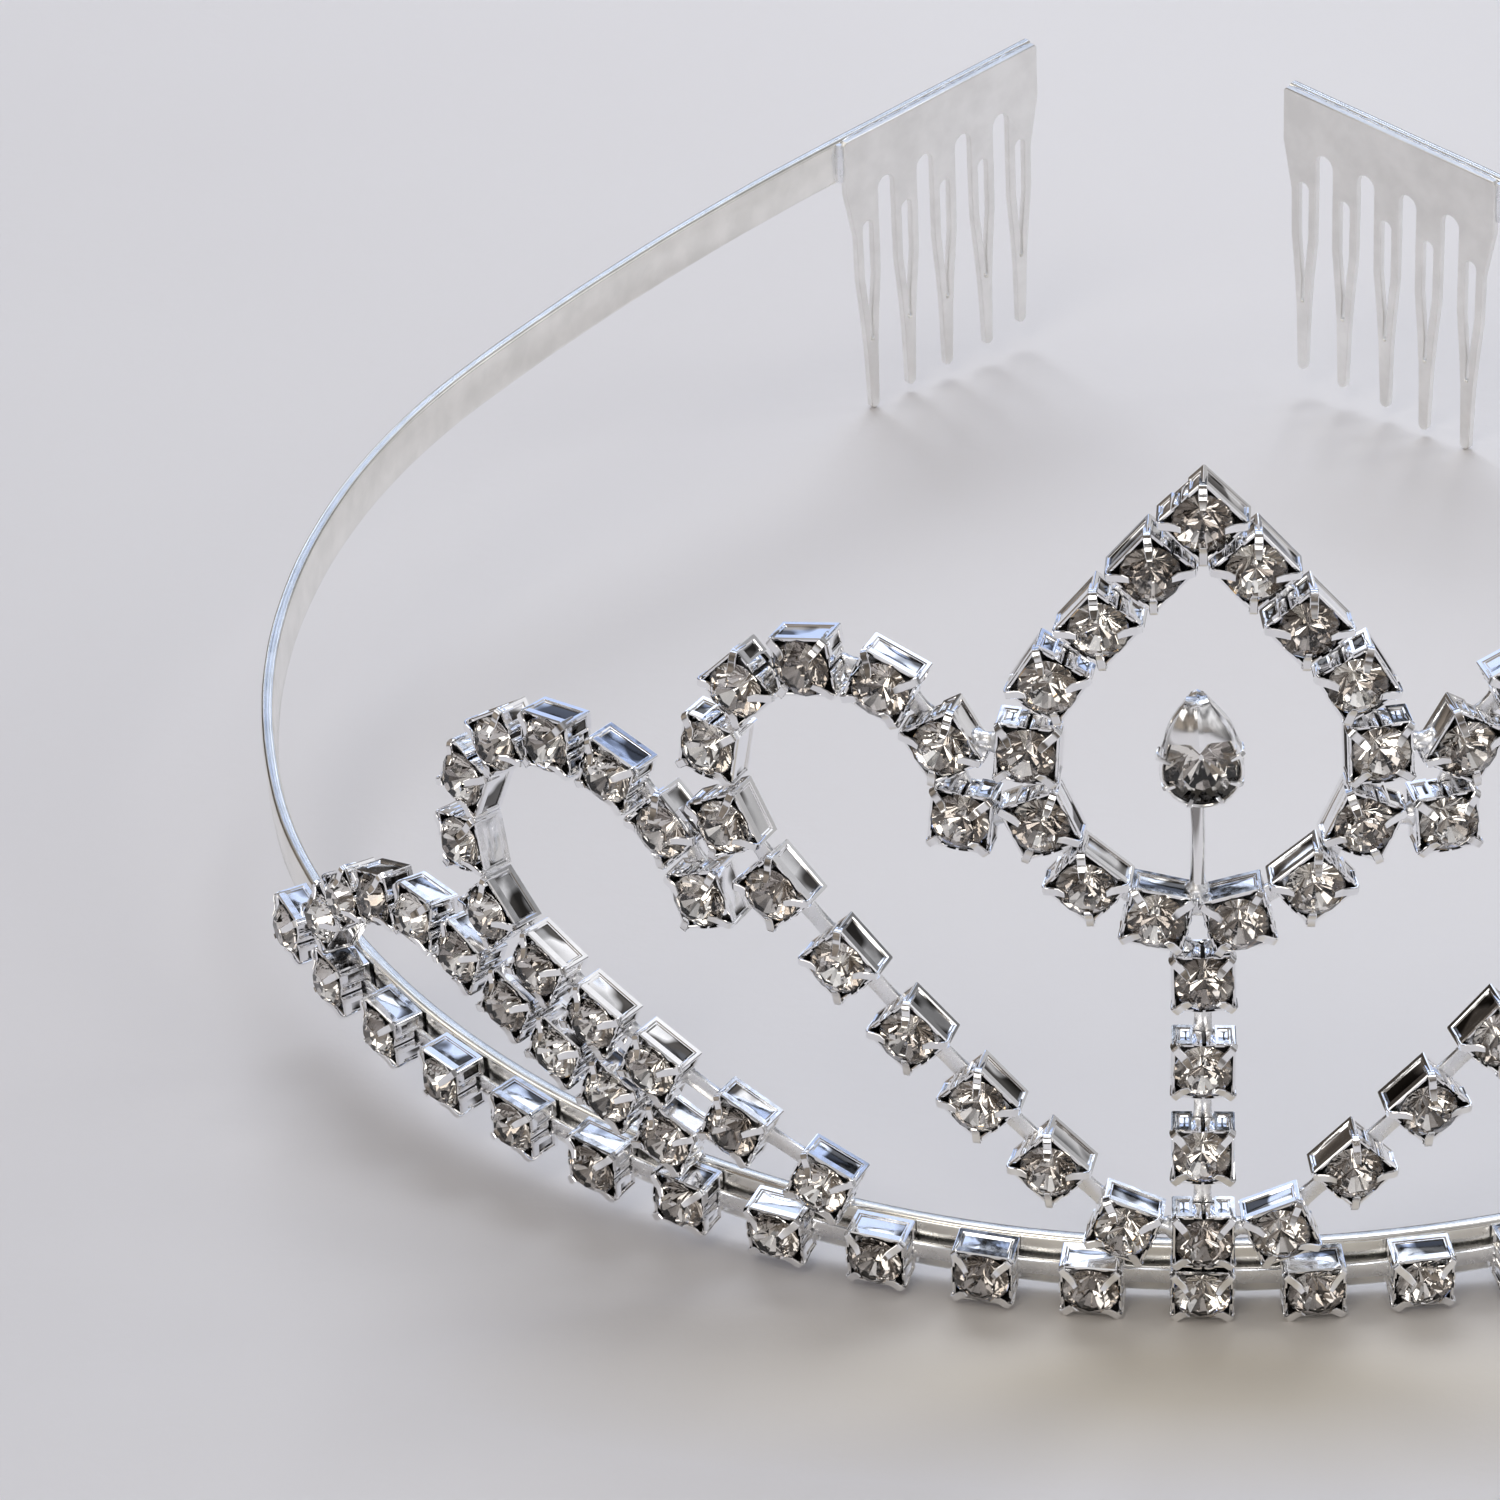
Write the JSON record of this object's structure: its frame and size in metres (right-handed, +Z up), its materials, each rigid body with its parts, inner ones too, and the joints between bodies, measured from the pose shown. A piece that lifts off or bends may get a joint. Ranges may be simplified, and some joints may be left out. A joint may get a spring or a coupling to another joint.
{
  "type": "bridal tiara",
  "caption": "Silver-plated tiara on a springy band, with scrolls of claw-set crystals, a pointed ring around a pear drop, and hair combs at the band's ends.",
  "frame": {"origin": "bottom centre of the tiara's box as it stands on a table, on its front settings and its comb teeth", "axes": "-Y out of the front of the tiara, +X to the right as seen from the front, +Z up; left and right in node names are as seen from the front"},
  "size_m": [0.112, 0.1368, 0.0484],
  "materials": {
    "band_steel": "bright silver plate on spring steel",
    "comb_steel": "silver plate on stamped steel",
    "setting_silver": "bright silver plate on stamped settings and links",
    "solder": "satin plated solder",
    "crystal": "cut, foil-backed clear glass"
  },
  "bodies": {
    "crest": {"band_front": "band_steel", "base_row_cups": "setting_silver", "base_row_links": "setting_silver", "base_row_stones": "crystal", "base_solder": "solder", "crest_solder": "solder", "drop_cup": "setting_silver", "drop_pin": "setting_silver", "drop_stone": "crystal", "inner_scroll_left_cups": "setting_silver", "inner_scroll_left_links": "setting_silver", "inner_scroll_left_stones": "crystal", "inner_scroll_right_cups": "setting_silver", "inner_scroll_right_links": "setting_silver", "inner_scroll_right_stones": "crystal", "middle_scroll_left_cups": "setting_silver", "middle_scroll_left_links": "setting_silver", "middle_scroll_left_stones": "crystal", "middle_scroll_right_cups": "setting_silver", "middle_scroll_right_links": "setting_silver", "middle_scroll_right_stones": "crystal", "outer_scroll_left_cups": "setting_silver", "outer_scroll_left_links": "setting_silver", "outer_scroll_left_stones": "crystal", "outer_scroll_right_cups": "setting_silver", "outer_scroll_right_links": "setting_silver", "outer_scroll_right_stones": "crystal", "ring_cups": "setting_silver", "ring_links": "setting_silver", "ring_stones": "crystal", "stem_cups": "setting_silver", "stem_links": "setting_silver", "stem_stones": "crystal"},
    "left_arm": {"band_arm_left": "band_steel", "comb_left": "comb_steel", "comb_solder_left": "solder"},
    "right_arm": {"band_arm_right": "band_steel", "comb_right": "comb_steel", "comb_solder_right": "solder"}
  },
  "joints": [
    {"name": "left_arm_flex", "type": "hinge", "parent": "crest", "child": "left_arm", "pos_m": [-0.05026, -0.0317, 0.00717], "axis": [0, -0.1609, 0.987], "range_deg": [-4, 8], "stiffness_Nm_per_rad": 0.5},
    {"name": "right_arm_flex", "type": "hinge", "parent": "crest", "child": "right_arm", "pos_m": [0.05214, -0.0317, 0.00717], "axis": [0, 0.1609, -0.987], "range_deg": [-4, 8], "stiffness_Nm_per_rad": 0.5}
  ]
}
